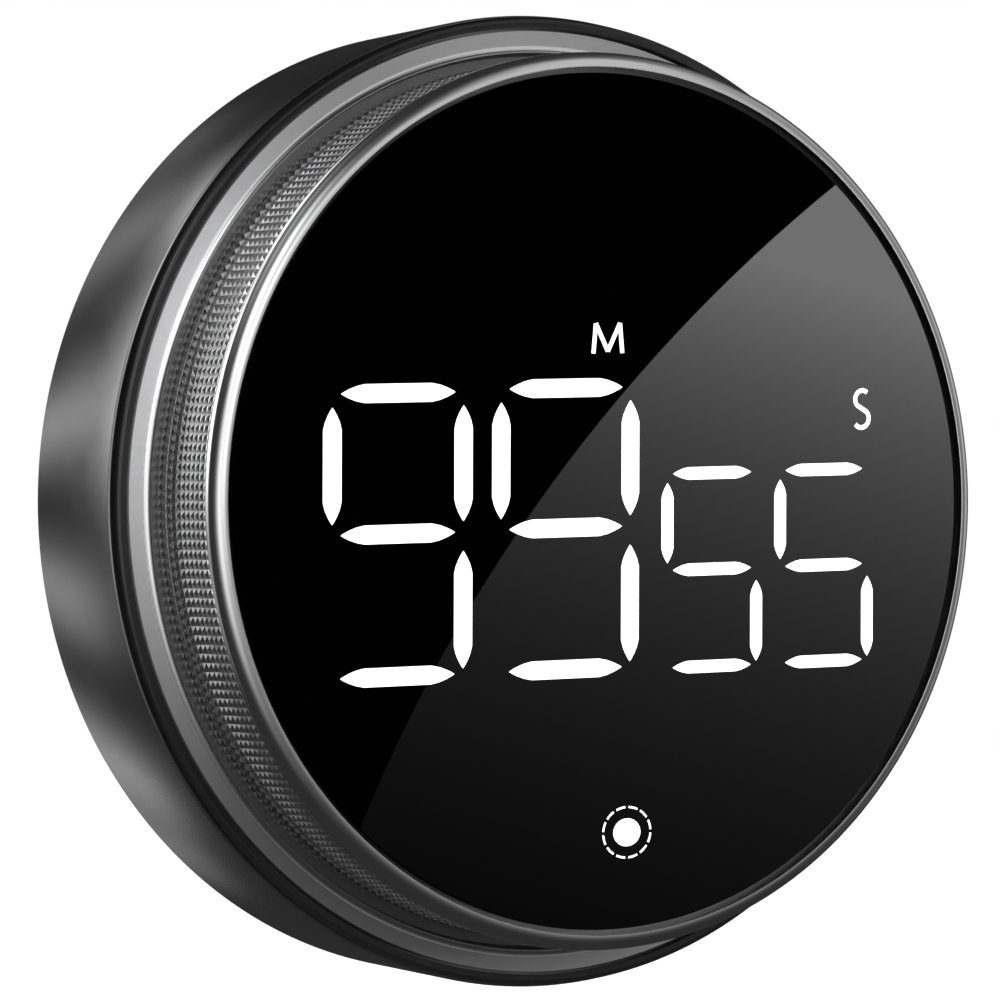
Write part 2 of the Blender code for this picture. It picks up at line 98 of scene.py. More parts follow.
# Studio. Strips stand behind the object at an angle round the dial's axis, and the housing mirrors them;
# wings stand a little wider, and the knurl mirrors them; soft boxes stand in front.
# (angle or direction, half width in degrees, brightness). A span is a range of a direction's +Y share.
AMBIENT = 0.03
STRIPS = [(60, 12, 0.2), (97, 11, 0.5), (155, 10, 1.0), (209, 10, 0.9), (266, 13, 0.9), (298, 11, 0.4)]
WINGS = [(106, 12, 1.8), (140, 14, 1.5), (163, 15, 2.4), (204, 11, 0.3)]
STRIPS_RISE = (0.885, 0.915)
WINGS_RISE, WINGS_FALL = (0.60, 0.75), (0.89, 0.87)
SOFT_BOXES = [
    ((-0.50, -0.66, 0.56), 12, 2.4),
    ((-0.58, -0.815, 0.00), 18, 1.25),
    ((-0.05, -0.98, 0.20), 12, 1.75),
    ((0.50, -0.82, 0.28), 17, 0.56),
    ((0.52, -0.52, 0.68), 13, 0.5),
    ((-0.60, 0.12, 0.78), 14, 0.4),
    ((0.97, -0.12, 0.05), 14, 0.5),
    ((0.84, -0.05, 0.54), 15, 0.35),
    ((0.35, -0.90, -0.25), 16, 0.06),
]


# ---------------------------------------------------------------- mesh helpers

def point(x, depth, z):
    return Vector((x, -depth, z)) * MM


def finish_mesh(name, bm, body, mats, crease=35.0):
    """Makes the piece, smooth except at edges sharper than crease, and rides it on its body."""
    bmesh.ops.remove_doubles(bm, verts=bm.verts, dist=1e-8)
    bmesh.ops.recalc_face_normals(bm, faces=bm.faces)
    mesh = bpy.data.meshes.new(name)
    bm.to_mesh(mesh)
    bm.free()
    if crease:
        mesh.shade_smooth()
        mesh.set_sharp_from_angle(angle=radians(crease))
    for mat in mats:
        mesh.materials.append(mat)
    obj = bpy.data.objects.new(name, mesh)
    bpy.context.scene.collection.objects.link(obj)
    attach(obj, body)
    return obj


def rounded(corners, steps=5):
    """A profile of (radius, depth, fillet) corners with each corner rounded, as (radius, depth) points."""
    profile = []
    for i, (r, d, fillet) in enumerate(corners):
        here = Vector((r, d))
        if not fillet:
            profile.append(here)
            continue
        before = (Vector(corners[i - 1][:2]) - here).normalized()
        after = (Vector(corners[(i + 1) % len(corners)][:2]) - here).normalized()
        half = before.angle(after) / 2
        reach = fillet / tan(half)
        centre = here + (before + after).normalized() * (fillet / sin(half))
        first, last = here + before * reach - centre, here + after * reach - centre
        for k in range(steps + 1):
            way = first.lerp(last, k / steps).normalized() if k < steps else last.normalized()
            profile.append(centre + way * fillet)
    return [(p[0], p[1]) for p in profile]


def turn(bm, profile, steps=ROUND, x=0.0, z=0.0, material_index=0, closed=True):
    """Turns a (radius, depth) profile about the Y direction through (x, z), into bm."""
    rings = []
    for r, depth in profile:
        if r < 1e-6:
            rings.append([bm.verts.new(point(x, depth, z))])
        else:
            rings.append([
                bm.verts.new(point(x + r * cos(2 * pi * k / steps), depth, z + r * sin(2 * pi * k / steps)))
                for k in range(steps)
            ])
    pairs = list(zip(rings, rings[1:]))
    if closed and min(r for r, _ in profile) > 1e-6:
        pairs.append((rings[-1], rings[0]))
    for one, two in pairs:
        for k in range(steps):
            n = (k + 1) % steps
            corners = [one[k % len(one)], one[n % len(one)], two[n % len(two)], two[k % len(two)]]
            unique = list(dict.fromkeys(corners))
            if len(unique) > 2:
                bm.faces.new(unique).material_index = material_index
    return rings


def tool_box(x0, x1, back, front, z0, z1, bevel=0.0):
    """A box between two x, two depths and two z, with softened edges."""
    bm = bmesh.new()
    made = bmesh.ops.create_cube(bm, size=1.0)["verts"]
    for v in made:
        v.co = point(x0 if v.co.x < 0 else x1, back if v.co.y > 0 else front, z0 if v.co.z < 0 else z1)
    if bevel:
        edges = list({e for v in made for e in v.link_edges})
        bmesh.ops.bevel(bm, geom=edges, offset=bevel * MM, segments=3, profile=0.6, affect="EDGES")
    return bm


def sheet_of(bm, outline, depth, thickness=0.0):
    """A flat (x, z) outline at a depth, with a rim going back by its thickness."""
    face = bm.faces.new([bm.verts.new(point(x, depth, z)) for x, z in outline])
    if thickness:
        made = bmesh.ops.extrude_face_region(bm, geom=[face])["geom"]
        moved = [v for v in made if isinstance(v, bmesh.types.BMVert)]
        bmesh.ops.translate(bm, verts=moved, vec=point(0, -thickness, 0))


# ---------------------------------------------------------------- shader helpers

def node(tree, kind, sockets=None, **settings):
    """A new node with its settings; an input given as another node's output is linked to it."""
    made = tree.nodes.new(kind)
    for key, value in settings.items():
        setattr(made, key, value)
    for key, value in (sockets or {}).items():
        if isinstance(value, bpy.types.NodeSocket):
            tree.links.new(value, made.inputs[key])
        else:
            made.inputs[key].default_value = value
    return made


def surface(name, colour, roughness, metallic=0.0, **sockets):
    mat = bpy.data.materials.new(name)
    mat.use_nodes = True
    shader = mat.node_tree.nodes["Principled BSDF"]
    shader.inputs["Base Color"].default_value = (*colour, 1.0)
    shader.inputs["Roughness"].default_value = roughness
    shader.inputs["Metallic"].default_value = metallic
    for key, value in sockets.items():
        shader.inputs[key.replace("_", " ")].default_value = value
    return mat


def shader_of(mat):
    return mat.node_tree.nodes["Principled BSDF"]


def place(mat):
    """Coordinates on the object, in metres."""
    return node(mat.node_tree, "ShaderNodeTexCoord").outputs["Object"]


def around_axis(mat):
    """Coordinates that follow a part turned about Y: (radius, depth, length round at 35 mm)."""
    tree = mat.node_tree
    split = node(tree, "ShaderNodeSeparateXYZ", {0: place(mat)})
    flat = node(tree, "ShaderNodeCombineXYZ", {"X": split.outputs["X"], "Y": split.outputs["Z"]})
    radius = node(tree, "ShaderNodeVectorMath", {0: flat.outputs[0]}, operation="LENGTH")
    angle = node(tree, "ShaderNodeMath", {0: split.outputs["Z"], 1: split.outputs["X"]}, operation="ARCTAN2")
    arc = node(tree, "ShaderNodeMath", {0: angle.outputs[0], 1: 0.035}, operation="MULTIPLY")
    return node(tree, "ShaderNodeCombineXYZ", {
        "X": radius.outputs["Value"], "Y": split.outputs["Y"], "Z": arc.outputs[0]}).outputs[0]


def noise(mat, where, size_mm, stretch=(1.0, 1.0, 1.0)):
    """Noise whose features are size_mm long, made longer along an axis by its stretch."""
    tree = mat.node_tree
    scale = [1.0 / (size_mm * MM * s) for s in stretch]
    scaled = node(tree, "ShaderNodeMapping", {"Vector": where, "Scale": scale})
    return node(tree, "ShaderNodeTexNoise", {
        "Vector": scaled.outputs[0], "Scale": 1.0, "Detail": 3.0, "Roughness": 0.6}).outputs["Fac"]


def vary_roughness(mat, value, low, high):
    """Lets the roughness run from low to high with a noise value."""
    tree = mat.node_tree
    ranged = node(tree, "ShaderNodeMapRange", {
        "Value": value, "From Min": 0.3, "From Max": 0.7, "To Min": low, "To Max": high})
    tree.links.new(ranged.outputs[0], shader_of(mat).inputs["Roughness"])


def raise_bumps(mat, value, height_mm):
    tree = mat.node_tree
    bump = node(tree, "ShaderNodeBump", {"Height": value, "Distance": height_mm * MM, "Strength": 1.0})
    tree.links.new(bump.outputs[0], shader_of(mat).inputs["Normal"])


def turned_grain(mat):
    """Points the stretched highlight of a lathe-turned surface across its fine turning lines."""
    tangent = node(mat.node_tree, "ShaderNodeTangent", direction_type="RADIAL", axis="Y")
    mat.node_tree.links.new(tangent.outputs[0], shader_of(mat).inputs["Tangent"])
    shader_of(mat).inputs["Anisotropic Rotation"].default_value = 0.25


# ---------------------------------------------------------------- materials

def painted_metal():
    mat = surface("housing_paint", (0.20, 0.20, 0.203), 0.18, 0.95)
    where = place(mat)
    vary_roughness(mat, noise(mat, where, 3.0), 0.165, 0.195)
    raise_bumps(mat, noise(mat, where, 0.12), 0.0006)
    return mat


def brushed_aluminium():
    mat = surface("dial_brushed", (0.80, 0.80, 0.81), 0.48, 1.0, Anisotropic=0.9)
    lines = noise(mat, around_axis(mat), 0.05, (1.0, 1.0, 160.0))
    vary_roughness(mat, lines, 0.44, 0.52)
    raise_bumps(mat, lines, 0.0008)
    turned_grain(mat)
    return mat


def cut_aluminium():
    mat = surface("dial_knurled", (0.88, 0.88, 0.885), 0.2, 1.0)
    where = place(mat)
    vary_roughness(mat, noise(mat, where, 0.3), 0.17, 0.24)
    raise_bumps(mat, noise(mat, where, 0.06), 0.0006)
    return mat


def polished_aluminium():
    mat = surface("dial_polished", (0.80, 0.80, 0.81), 0.16, 1.0, Anisotropic=0.3)
    lines = noise(mat, around_axis(mat), 0.05, (1.0, 1.0, 160.0))
    vary_roughness(mat, lines, 0.13, 0.20)
    turned_grain(mat)
    return mat


# Painted shade: a dark grey metal for the dial's groove, standing in for the shade that falls in it.
def painted_shade_recess():
    mat = surface("dial_recess_painted_shade", (0.22, 0.22, 0.222), 0.5, 1.0)
    vary_roughness(mat, noise(mat, place(mat), 0.4), 0.45, 0.58)
    return mat


def gloss_black():
    mat = surface("trim_black", (0.008, 0.008, 0.009), 0.16)
    vary_roughness(mat, noise(mat, place(mat), 1.5), 0.14, 0.20)
    return mat


def smoked_glass():
    mat = surface("lens_smoked", (0.0003, 0.0003, 0.0003), 0.003, 0.0, IOR=1.5)
    vary_roughness(mat, noise(mat, place(mat), 6.0), 0.002, 0.006)
    return mat


def moulded(name, colour, low, high, grain_mm=0.22, depth_mm=0.01):
    mat = surface(name, colour, low)
    grain = noise(mat, place(mat), grain_mm)
    vary_roughness(mat, grain, low, high)
    raise_bumps(mat, grain, depth_mm)
    return mat


def plated(name, colour, low, high):
    mat = surface(name, colour, low, 1.0)
    scratches = noise(mat, place(mat), 0.08, (12.0, 1.0, 1.0))
    vary_roughness(mat, scratches, low, high)
    raise_bumps(mat, scratches, 0.0005)
    return mat


def circuit_board():
    mat = surface("board", (0.012, 0.10, 0.05), 0.32, 0.0, Coat_Weight=0.5)
    tree = mat.node_tree
    split = node(tree, "ShaderNodeSeparateXYZ", {0: place(mat)})
    flat = node(tree, "ShaderNodeCombineXYZ", {"X": split.outputs["X"], "Y": split.outputs["Z"]})
    bricks = node(tree, "ShaderNodeTexBrick", {
        "Vector": flat.outputs[0], "Scale": 320.0, "Mortar Size": 0.05, "Color1": (0.01, 0.085, 0.042, 1),
        "Color2": (0.014, 0.11, 0.055, 1), "Mortar": (0.03, 0.20, 0.09, 1)})
    tree.links.new(bricks.outputs["Color"], shader_of(mat).inputs["Base Color"])
    raise_bumps(mat, bricks.outputs["Fac"], 0.02)
    return mat


def glowing(name, brightness):
    mat = surface(name, (0.9, 0.9, 0.9), 0.3, Emission_Color=(1, 1, 1, 1), Emission_Strength=brightness)
    vary_roughness(mat, noise(mat, place(mat), 1.0), 0.25, 0.35)
    return mat


# ---------------------------------------------------------------- turned front parts

def housing(mats):
    """Tapered wall with its inner web, and a post for each cover screw."""
    bm = bmesh.new()
    turn(bm, rounded([
        (SHELL_BORE, SHELL_BACK, 0.1), (SHELL_R_BACK, SHELL_BACK, 0.12), (SHELL_R_FRONT, SHELL_FRONT - 0.1, 0.04),
        (SHELL_R_FRONT - 0.14, SHELL_FRONT, 0.04), (SHELL_BORE, SHELL_FRONT, 0), (SHELL_BORE, WEB_FRONT, 0.2),
        (WEB_R, WEB_FRONT, 0), (WEB_R, WEB_BACK, 0), (SHELL_BORE, WEB_BACK, 0.3)]))
    post = rounded([(0.95, 5.3, 0), (2.2, 5.3, 0.15), (2.2, 13.2, 0.2), (0.95, 13.2, 0)], 3)
    for i in range(1, 5):
        turn(bm, post, 24, *middle_of(f"cover_screw_{i}"))
    return finish_mesh("housing_turned", bm, "timer_body", mats)


def trim(mats):
    """Gloss ring with a round crown, in the gap between the housing and the flange."""
    bm = bmesh.new()
    crown = [(38.35 + 0.5 * cos(radians(a)), 16.45 + 0.5 * sin(radians(a))) for a in range(18, 99, 8)]
    turn(bm, [(37.95, 16.0), (38.56, 16.0)] + crown + [(38.0, 16.95), (37.95, 16.9)])
    return finish_mesh("trim_turned", bm, "timer_body", mats)


def dial(mats):
    """Brushed flange, polished bead, cut knurl and polished lip, all one turned piece; the groove behind the bead is
    painted dark grey as shade.
    """
    bm = bmesh.new()
    root = rounded([
        (KNURL_ROOT, KNURL_BACK, 0), (35.7, KNURL_BACK, 0.1), (BEAD_R, BEAD_TOP, 0), (36.1, FLANGE_FACE, 0.6),
        (FLANGE_R, FLANGE_FACE, 0.0)], 8)
    groove_end = next(i for i, (_, d) in enumerate(root) if d > BEAD_TOP - 0.01)
    root = root[:1 + next(i for i, (r, d) in enumerate(root) if r > 36 and d < FLANGE_FACE + 0.001)]
    back = rounded([
        (FLANGE_R, FLANGE_FACE, 0.10), (FLANGE_R, FLANGE_BACK, 0.08), (DIAL_BORE, FLANGE_BACK, 0.1),
        (DIAL_BORE, 24.0, 0), (LIP_BORE, 24.0, 0)], 4)
    lip = rounded([
        (LIP_BORE, 26.2, 0.0), (LIP_BORE, LIP_FRONT, 0.02), (LIP_R, LIP_FRONT, 1.19), (LIP_R, LIP_BACK, 0.06),
        (KNURL_ROOT, 24.75, 0.1), (KNURL_ROOT, KNURL_FRONT, 0)], 12)
    chain = root + [(36.9, FLANGE_FACE)] + back + lip
    rings = turn(bm, chain, KNURL_COLUMNS, material_index=BRUSHED_FACES, closed=False)
    # The groove's faces get the painted shade material; the bead and lip faces get the polished one.
    for i in [*range(len(root) - 1), *range(len(root) + len(back), len(chain) - 1)]:
        for face in {f for v in rings[i] for f in v.link_faces if set(f.verts) & set(rings[i + 1])}:
            face.material_index = GROOVE_PAINTED_SHADE_FACES if i < groove_end else POLISHED_FACES
    pitch = (KNURL_FRONT - KNURL_BACK) / KNURL_ROWS
    step = 2 * pi / KNURL_COLUMNS

    def knurl_point(r, row, column):
        return bm.verts.new(point(r * cos(step * column), KNURL_BACK + pitch * row, r * sin(step * column)))

    valleys = [rings[0]] + [
        [knurl_point(KNURL_ROOT, row, k) for k in range(KNURL_COLUMNS)] for row in range(1, KNURL_ROWS)
    ] + [rings[-1]]
    for row in range(KNURL_ROWS):
        for k in range(KNURL_COLUMNS):
            n = (k + 1) % KNURL_COLUMNS
            tip = knurl_point(KNURL_R, row + 0.5, k + 0.5)
            base = [valleys[row][k], valleys[row][n], valleys[row + 1][n], valleys[row + 1][k]]
            for a, b in zip(base, base[1:] + base[:1]):
                bm.faces.new((a, b, tip)).material_index = KNURLED_FACES
    return finish_mesh("dial_turned", bm, "dial", mats, crease=25.0)


def lens(mats):
    """Flat lens with a fine chamfer at its front edge."""
    bm = bmesh.new()
    turn(bm, rounded([
        (0, 24.95, 0), (33.85, 24.95, 0.05), (33.85, LENS_FACE - 0.15, 0), (33.77, LENS_FACE, 0),
        (0, LENS_FACE, 0)], 3))
    return finish_mesh("lens_glass", bm, "timer_body", mats, crease=12.0)


# ---------------------------------------------------------------- back and battery bay

def carve(shape, tools):
    """Cuts the tools from the shape and returns what is left."""
    shapes = []
    for bm in (shape, *tools):
        bmesh.ops.recalc_face_normals(bm, faces=bm.faces)
        mesh = bpy.data.meshes.new("carving")
        bm.to_mesh(mesh)
        bm.free()
        shapes.append(bpy.data.objects.new("carving", mesh))
        bpy.context.scene.collection.objects.link(shapes[-1])
    for tool in shapes[1:]:
        cut = shapes[0].modifiers.new("cut", "BOOLEAN")
        cut.operation, cut.object = "DIFFERENCE", tool
    left = bmesh.new()
    left.from_mesh(shapes[0].evaluated_get(bpy.context.evaluated_depsgraph_get()).to_mesh())
    for obj in shapes:
        bpy.data.objects.remove(obj, do_unlink=True)
    return left


def tool_turned(profile, x, z, steps=48):
    bm = bmesh.new()
    turn(bm, profile, steps, x, z)
    return bm


def along_x(profile, x, depth, z, way, steps=64, material_index=0, closed=False):
    """A profile turned about the X direction; its depths run from x in the direction way."""
    bm = bmesh.new()
    turn(bm, profile, steps, material_index=material_index, closed=closed)
    swing = Matrix.Rotation(way * pi / 2, 4, "Z")
    bmesh.ops.transform(bm, matrix=Matrix.Translation(point(x, depth, z)) @ swing, verts=bm.verts)
    return bm


def merged(*parts):
    whole = bmesh.new()
    for part in parts:
        mesh = bpy.data.meshes.new("part")
        part.to_mesh(mesh)
        part.free()
        whole.from_mesh(mesh)
        bpy.data.meshes.remove(mesh)
    return whole


def middle_of(name):
    """(x, z) of a CAD node's middle, in millimetres."""
    lo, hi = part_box(name)
    return (lo.x + hi.x) / 2 / MM, (lo.z + hi.z) / 2 / MM


def cover(mats):
    """Back cover with its foot groove, door opening, magnet pockets, screw seats, slot and sound holes."""
    bm = bmesh.new()
    turn(bm, rounded([
        (0, 0.7, 0), (33.9, 0.7, 0.12), (33.9, 1.4, 0), (35.3, 1.4, 0), (35.3, 0.7, 0.12), (36.0, 0.7, 0.25),
        (36.0, 3.3, 0), (36.7, 3.3, 0.1), (36.7, 5.0, 0.1), (34.6, 5.0, 0), (34.6, 3.4, 0), (0, 3.4, 0)]))
    magnets = [middle_of(f"magnet_{i}") for i in range(1, 5)]
    screws = [middle_of(f"cover_screw_{i}") for i in range(1, 5)]
    seat = [(0, -1), (2.0, -1), (2.0, 0.55), (1.7, 0.95), (1.7, 2.2), (0.9, 2.2), (0.9, 6), (0, 6)]
    pocket = [(0, -1), (4.55, -1), (4.55, 0.6), (4.3, 0.9), (4.3, 2.8), (0, 2.8)]
    tools = [
        tool_box(-25.9, 25.9, -1, 6, -18.0, 17.3),
        along_x([(0, 0), (0.62, 0), (0.62, 54.4), (0, 54.4)], -27.2, PIN_DEPTH, PIN_Z, 1, 24),
        tool_box(-6.0, 6.0, -1, 2.2, 16.9, 19.5),
        tool_box(-4.0, 4.0, -1, 6, -23.5, -20.3),
    ]
    tools += [tool_turned(pocket, *at) for at in magnets] + [tool_turned(seat, *at, 32) for at in screws]
    tools += [tool_turned([(0, -1), (0.75, -1), (0.75, 0.8), (0.6, 1.0), (0.6, 6), (0, 6)], x, z, 24)
              for x in (-2.5, 0.1, 2.6) for z in (23.3, 25.7)]
    return finish_mesh("cover_moulded", carve(bm, tools), "timer_body", mats)


def foot(mats):
    bm = bmesh.new()
    turn(bm, rounded([(34.1, 0.0, 0.35), (35.1, 0.0, 0.35), (35.1, 1.2, 0), (34.1, 1.2, 0)], 8))
    return finish_mesh("foot_ring_rounded", bm, "timer_body", mats)


def magnet(name, mats):
    bm = bmesh.new()
    turn(bm, rounded([(0, 0.4, 0), (4.0, 0.4, 0.18), (4.0, 2.5, 0.18), (0, 2.5, 0)], 5), 96, *middle_of(name))
    return finish_mesh(f"{name}_plated", bm, "timer_body", mats)


def cover_screw(name, mats):
    """Pan-head screw with a cross recess."""
    x, z = middle_of(name)
    bm = bmesh.new()
    turn(bm, rounded([(0, 0.9, 0), (1.5, 0.9, 0.35), (1.5, 1.9, 0.05), (0.7, 1.9, 0), (0.7, 9.5, 0.3), (0, 9.5, 0)], 5),
         48, x, z)
    arms = [tool_box(x - a, x + a, 0.5, 1.55, z - b, z + b) for a, b in ((0.85, 0.17), (0.17, 0.85))]
    pit = tool_turned([(0, 0.5), (0.42, 0.5), (0.16, 1.65), (0, 1.65)], x, z, 16)
    return finish_mesh(f"{name}_crossed", carve(bm, arms + [pit]), "timer_body", mats, crease=30.0)


def door(mats):
    """Battery door with grip grooves by the tongue at its free edge, on its pin."""
    plate = tool_box(-25.6, 25.6, 0.9, 2.5, -16.9, 17.0, bevel=0.3)
    grooves = [tool_box(-6.0 + i * 0.6, 6.0 - i * 0.6, 0, 1.3, z - 0.28, z + 0.28)
               for i, z in enumerate((14.6, 13.3, 12.0, 10.7))]
    plate = carve(plate, grooves)
    barrel, pin = (
        along_x(rounded([(0, 0, 0), (r, 0, fillet), (r, length, fillet), (0, length, 0)], 3),
                -length / 2, PIN_DEPTH, PIN_Z, 1, 32)
        for r, fillet, length in ((0.8, 0.1, 51.2), (0.5, 0.12, 53.8)))
    tongue = tool_box(-5.5, 5.5, 0.9, 1.6, 16.6, 18.3, bevel=0.15)
    return finish_mesh("battery_door_ribbed", merged(plate, barrel, pin, tongue), "battery_door", mats)


def knob(mats):
    """Slider with three ridges under the fingertip."""
    ridges = [tool_box(-1.5, 1.5, 0.9, 1.3, z - 0.22, z + 0.22, bevel=0.1) for z in (-22.8, -21.9, -21.0)]
    head = tool_box(-1.5, 1.5, 1.1, 7.0, -23.2, -20.6, bevel=0.2)
    stem = tool_box(-1.2, 1.2, 6.5, 12.6, -22.9, -20.9, bevel=0.1)
    return finish_mesh("volume_knob_ridged", merged(head, stem, *ridges), "volume_slider", mats)


def volume_marks(mats):
    """Three raised dots that grow towards the loud end of the slider's travel."""
    bm = bmesh.new()
    for x, r in ((-2.0, 0.22), (0.0, 0.32), (2.0, 0.42)):
        turn(bm, rounded([(0, 0.62, 0), (r, 0.62, 0.06), (r, 0.75, 0), (0, 0.75, 0)], 3), 32, x, -19.3)
    return finish_mesh("volume_marks", bm, "timer_body", mats)


def cell(number, way, mats):
    """Round cell: steel ends, a printed wrap and a bright band at the positive end."""
    lo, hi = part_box(f"cell_{number}")
    x = (lo.x if way > 0 else hi.x) / MM
    _, z = middle_of(f"cell_{number}")
    can = rounded([(0, 0.1, 0), (4.2, 0.1, 0.2), (4.2, 0.0, 0), (4.75, 0.0, 0.2), (4.75, 43.3, 0.2), (2.4, 43.5, 0.1),
                   (1.9, 43.6, 0.05), (1.9, 44.5, 0.25), (0, 44.5, 0)], 4)
    wrap = [(4.7, 0.25), (5.05, 0.3), (5.25, 0.6), (5.25, 34.0)]
    band = [(5.25, 34.0), (5.25, 43.0), (5.05, 43.35), (4.6, 43.45)]
    parts = [along_x(profile, x, CELL_DEPTH, z, way, material_index=i) for i, profile in enumerate((can, wrap, band))]
    return finish_mesh(f"cell_{number}_wrapped", merged(*parts), "timer_body", mats)


def wire_coil(x, depth, z, way, r_start, r_end, length, turns, wire, per_turn=28, sides=10):
    """A spring wire wound about the X direction."""
    bm = bmesh.new()
    rings = []
    count = int(turns * per_turn)
    for i in range(count + 1):
        share = i / count
        a = 2 * pi * turns * share
        r = r_start + (r_end - r_start) * share
        out = Vector((0, cos(a), sin(a)))
        centre = point(x + way * length * share, depth, z) + out * r * MM
        rings.append([bm.verts.new(centre + (out * cos(b) + Vector((1, 0, 0)) * sin(b)) * wire * MM)
                      for b in (2 * pi * k / sides for k in range(sides))])
    for one, two in zip(rings, rings[1:]):
        for k in range(sides):
            bm.faces.new((one[k], one[(k + 1) % sides], two[(k + 1) % sides], two[k]))
    bm.faces.new(rings[0])
    bm.faces.new(rings[-1])
    return bm


def contacts(number, way, mats):
    """The plate that the cell's nub meets and the spring behind its flat end."""
    pieces = []
    lo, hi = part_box(f"plate_contact_{number}")
    x0, x1, z0, z1 = lo.x / MM, hi.x / MM, lo.z / MM, hi.z / MM
    z = (z0 + z1) / 2
    plate = tool_box(x0, x1, 4.5, 11.7, z0, z1, bevel=0.1)
    button = along_x(rounded([(0, 0, 0), (1.3, 0, 0.1), (1.1, 0.15, 0.08), (0, 0.15, 0)], 3),
                     x0 if way > 0 else x1, CELL_DEPTH, z, -way, 32)
    pieces.append(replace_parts(finish_mesh(f"plate_contact_{number}_pressed", merged(plate, button), "timer_body",
                                          mats), f"plate_contact_{number}"))
    side = -way
    near, far = sorted((side * 25.15, side * 25.5))
    plate = tool_box(near, far, 4.5, 11.7, z0, z1, bevel=0.1)
    coil = wire_coil(side * 25.1, CELL_DEPTH, z, way, 3.0, 2.0, 4.8, 3.5, 0.35)
    pieces.append(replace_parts(finish_mesh(f"spring_contact_{number}_wound", merged(plate, coil), "timer_body",
                                          mats), f"spring_contact_{number}"))
    return pieces


# ---------------------------------------------------------------- display

def on_face(x, z):
    """The lit artwork climbs slightly to the right and leans slightly."""
    return x + COLUMN_LEAN * z, z + ROW_RISE * x


def bar(x, z, length, thick, upright):
    """A display bar: straight sides that curve in to a point at each end."""
    half, ear = length / 2, thick * (1.05 if upright else 1.45)
    arc = [(0.0, 0.0), (0.12, 0.20), (0.35, 0.50), (0.65, 0.80), (1.0, 1.0)]
    left = [(-half + ear * u, -thick / 2 * v) for u, v in arc]
    right = [(-a, b) for a, b in reversed(left)]
    lower = left + right
    upper = [(a, -b) for a, b in reversed(lower)][1:-1]
    return [(x - b, z + a) if upright else (x + a, z + b) for a, b in lower + upper]


def digit(x, half, top, middle, bottom, thick, lit):
    across = 2 * half - 1.05 * thick
    bars = {}
    for name, row in (("a", top), ("g", middle), ("d", bottom)):
        bars[name] = (x, row, across, thick, False)
    for names, low, high, drop in (("fb", middle, top, 0.07), ("ec", bottom, middle, 0.37)):
        for name, side in zip(names, (-1, 1)):
            bars[name] = (x + side * half, (low + high) / 2 - drop * thick, high - low - 1.3 * thick,
                          thick * 1.13, True)
    return [bar(*bars[name]) for name in lit]


def stroke(points, width):
    """A flat band of even width along a line of points."""
    line = [Vector(p) for p in points]
    left, right = [], []
    for i, p in enumerate(line):
        before = (p - line[i - 1]).normalized() if i else (line[1] - p).normalized()
        after = (line[i + 1] - p).normalized() if i + 1 < len(line) else before
        along = (before + after).normalized()
        side = Vector((-along.y, along.x)) * width / 2 / max(0.35, along.dot(before))
        left.append(p + side)
        right.append(p - side)
    return [tuple(p) for p in left + right[::-1]]


def arc_points(x, z, r, start, end, steps=12, tall=1.0):
    return [(x + r * cos(radians(start + (end - start) * k / steps)),
             z + r * tall * sin(radians(start + (end - start) * k / steps))) for k in range(steps + 1)]


def display(mats):
    """Numbers, unit letters and the touch mark, just proud of the lens so the light reads clearly."""
    pieces = []

    def lit(name, outlines):
        bm = bmesh.new()
        for outline in outlines:
            sheet_of(bm, [on_face(*p) for p in outline], LENS_FACE + ART_PROUD, ART_THICK)
        pieces.append(finish_mesh(name, bm, "timer_body", mats, crease=0))

    for i, spec in enumerate(NINES + FIVES, 1):
        lit(f"digit_{i}_lit", digit(*spec))
    mx, mz = MINUTES_AT
    legs = [(-1.35, -1.18), (-1.13, 1.18), (0.0, -1.02), (1.13, 1.18), (1.35, -1.18)]
    lit("minutes_letter_lit", [stroke([(mx + a, mz + b) for a, b in pair], 0.36)
                               for pair in zip(legs, legs[1:])])
    sx, sz = SECONDS_AT
    curve = arc_points(sx + 0.1, sz + 0.78, 0.70, 50, 225, 14) + arc_points(sx + 0.0, sz - 0.78, 0.74, 45, -140, 14)
    lit("seconds_letter_lit", [stroke(curve, 0.37)])
    tx, tz = TOUCH_AT
    dashes = [stroke(arc_points(tx, tz, 2.22, a - 11, a + 11, 4, 0.9), 0.16) for a in range(15, 375, 30)]
    lit("touch_mark_lit", [arc_points(tx, tz, 1.27, 0, 352.5, 47, 0.87)] + dashes)
    return pieces


# ---------------------------------------------------------------- studio

